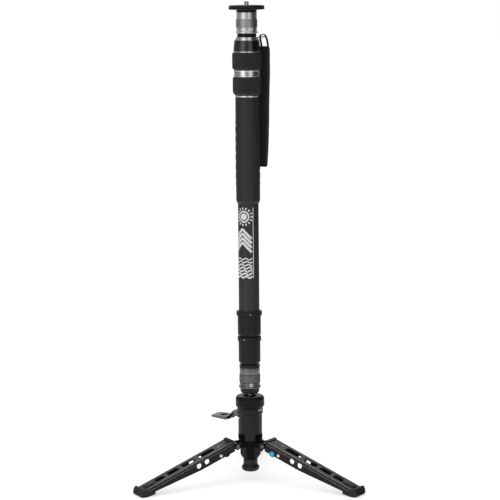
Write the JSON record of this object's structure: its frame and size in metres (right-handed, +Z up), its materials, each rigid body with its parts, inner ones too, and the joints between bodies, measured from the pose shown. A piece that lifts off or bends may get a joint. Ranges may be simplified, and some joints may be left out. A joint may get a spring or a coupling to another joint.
{
  "type": "camera monopod",
  "caption": "Telescoping camera monopod with twist locks, wrist strap, round top plate with camera screw, and fold-out legs on a tilting ball joint, shown closed.",
  "frame": {"origin": "on the floor under the column's axis, in the middle of the spread legs", "axes": "+Z up along the column, -Y towards the viewer of the front, +X to the viewer's right; the rear leg points along +Y"},
  "size_m": [0.3266, 0.2847, 0.6885],
  "materials": {
    "steel": "turned, bright",
    "pad_rubber": "matt, ribbed",
    "black_metal": "anodised satin black",
    "black_plastic": "matt black",
    "ring_black": "finely ribbed, matt black",
    "webbing": "woven",
    "strap_fabric": "woven, padded",
    "grip_rubber": "foam, embossed",
    "tube_black": "anodised satin dark grey",
    "bush_plastic": "moulded",
    "bare_aluminium": "drawn",
    "gunmetal": "anodised grey, turned",
    "bright_trim": "turned, bright",
    "pedal_grey": "die-cast, grey",
    "brass": "turned",
    "leg_black": "anodised satin black",
    "button_blue": "light blue",
    "foot_rubber": "matt"
  },
  "bodies": {
    "base": {"leg_hub": "black_metal", "hinge_pins": "steel", "hinge_bushes": "brass", "base_housing": "black_metal", "pedal_pin": "steel", "foot_post": "black_metal", "rubber_foot": "foot_rubber"},
    "pedal": {"pedal": "pedal_grey"},
    "friction_collar": {"friction_collar": "ring_black"},
    "ball_seat": {"ball_liner": "bush_plastic"},
    "inner_column": {"ball_stem": "steel", "column_bowl": "black_metal", "inner_tube": "tube_black", "inner_tube_ring": "black_metal", "inner_lock_sleeve": "bush_plastic"},
    "lower_coupling": {"lower_adapter": "gunmetal", "lower_adapter_screw": "steel"},
    "middle_column": {"middle_tube": "tube_black", "middle_collar": "black_metal", "middle_collar_screw": "steel", "middle_guide_bush": "bush_plastic", "middle_lock_sleeve": "bush_plastic"},
    "outer_column": {"outer_tube": "tube_black", "outer_collar": "black_metal", "outer_collar_screw": "steel", "outer_guide_bush": "bush_plastic", "hand_grip": "grip_rubber", "head_body": "black_plastic", "index_band": "bright_trim", "lower_trim_ring": "bright_trim", "head_trim_ring": "bright_trim", "head_collar": "black_metal", "head_cap_ring": "bright_trim", "head_neck": "black_plastic", "strap_lug": "bright_trim", "plate_hub": "black_metal", "camera_plate": "black_metal", "plate_pad": "pad_rubber", "camera_stud": "steel"},
    "upper_twist": {"upper_twist_ring": "ring_black", "drive_rod": "bare_aluminium"},
    "lower_twist": {"lower_twist_ring": "ring_black"},
    "middle_cam": {"middle_lock_cam": "bare_aluminium"},
    "inner_cam": {"inner_lock_cam": "bare_aluminium"},
    "upper_coupling": {"upper_adapter": "gunmetal", "upper_adapter_screw": "steel"},
    "strap": {"strap_webbing": "webbing", "wrist_strap": "strap_fabric"},
    "left_leg": {"left_leg": "leg_black", "left_leg_shoe": "foot_rubber", "left_leg_rivet": "steel"},
    "left_leg_release": {"left_leg_button": "button_blue"},
    "right_leg": {"right_leg": "leg_black", "right_leg_shoe": "foot_rubber", "right_leg_rivet": "steel"},
    "right_leg_release": {"right_leg_button": "button_blue"},
    "rear_leg": {"rear_leg": "leg_black", "rear_leg_shoe": "foot_rubber", "rear_leg_rivet": "steel"},
    "rear_leg_release": {"rear_leg_button": "button_blue"}
  },
  "joints": [
    {"name": "left_leg_fold", "type": "hinge", "parent": "base", "child": "left_leg", "pos_m": [-0.02338, -0.0135, 0.0545], "axis": [-0.5, 0.866, 0], "range_deg": [0, 99]},
    {"name": "left_leg_release_press", "type": "slide", "parent": "left_leg", "child": "left_leg_release", "axis": [0.5, -0.866, 0], "range_m": [0, 0.0024], "stiffness_N_per_m": 600, "springref_m": -0.004},
    {"name": "right_leg_fold", "type": "hinge", "parent": "base", "child": "right_leg", "pos_m": [0.02338, -0.0135, 0.0545], "axis": [-0.5, -0.866, 0], "range_deg": [0, 99]},
    {"name": "right_leg_release_press", "type": "slide", "parent": "right_leg", "child": "right_leg_release", "axis": [0.5, 0.866, 0], "range_m": [0, 0.0024], "stiffness_N_per_m": 600, "springref_m": -0.004},
    {"name": "rear_leg_fold", "type": "hinge", "parent": "base", "child": "rear_leg", "pos_m": [0, 0.027, 0.0545], "axis": [1, 0, 0], "range_deg": [0, 99]},
    {"name": "rear_leg_release_press", "type": "slide", "parent": "rear_leg", "child": "rear_leg_release", "axis": [-1, 0, 0], "range_m": [0, 0.0024], "stiffness_N_per_m": 600, "springref_m": -0.004},
    {"name": "pedal_press", "type": "hinge", "parent": "base", "child": "pedal", "pos_m": [-0.00996, 0.00575, 0.092], "axis": [-0.5, -0.866, 0], "range_deg": [0, 12], "stiffness_Nm_per_rad": 0.8, "springref_deg": -11.46},
    {"name": "friction_collar_turn", "type": "hinge", "parent": "base", "child": "friction_collar", "pos_m": [0, 0, 0.115], "axis": [0, 0, 1], "range_deg": [0, 60]},
    {"name": "column_pan", "type": "hinge", "parent": "base", "child": "ball_seat", "pos_m": [0, 0, 0.111], "axis": [0, 0, 1], "continuous": true},
    {"name": "column_tilt", "type": "hinge", "parent": "ball_seat", "child": "inner_column", "pos_m": [0, 0, 0.111], "axis": [1, 0, 0], "range_deg": [-14, 14]},
    {"name": "lower_coupling_turn", "type": "hinge", "parent": "inner_column", "child": "lower_coupling", "pos_m": [0, 0, 0.151], "axis": [0, 0, 1], "range_deg": [0, 180]},
    {"name": "middle_slide", "type": "slide", "parent": "inner_column", "child": "middle_column", "axis": [0, 0, 1], "range_m": [0, 0.33]},
    {"name": "outer_slide", "type": "slide", "parent": "middle_column", "child": "outer_column", "axis": [0, 0, 1], "range_m": [0, 0.325]},
    {"name": "upper_twist_turn", "type": "hinge", "parent": "outer_column", "child": "upper_twist", "pos_m": [0, 0, 0.6045], "axis": [0, 0, 1], "range_deg": [0, 90]},
    {"name": "lower_twist_turn", "type": "hinge", "parent": "outer_column", "child": "lower_twist", "pos_m": [0, 0, 0.57], "axis": [0, 0, 1], "range_deg": [0, 90]},
    {"name": "middle_cam_turn", "type": "hinge", "parent": "middle_column", "child": "middle_cam", "pos_m": [0, 0, 0.578], "axis": [0, 0, 1], "range_deg": [0, 90]},
    {"name": "inner_cam_turn", "type": "hinge", "parent": "inner_column", "child": "inner_cam", "pos_m": [0, 0, 0.547], "axis": [0, 0, 1], "range_deg": [0, 90]},
    {"name": "upper_coupling_turn", "type": "hinge", "parent": "outer_column", "child": "upper_coupling", "pos_m": [0, 0, 0.659], "axis": [0, 0, 1], "range_deg": [0, 180]},
    {"name": "strap_swing", "type": "hinge", "parent": "outer_column", "child": "strap", "pos_m": [0.02203, 0.01385, 0.6375], "axis": [-0.5, -0.866, 0], "range_deg": [0, 25]}
  ],
  "couplings": [
    {"joint": "middle_cam_turn", "follows": "upper_twist_turn", "ratio": 1},
    {"joint": "inner_cam_turn", "follows": "upper_twist_turn", "ratio": 1}
  ]
}
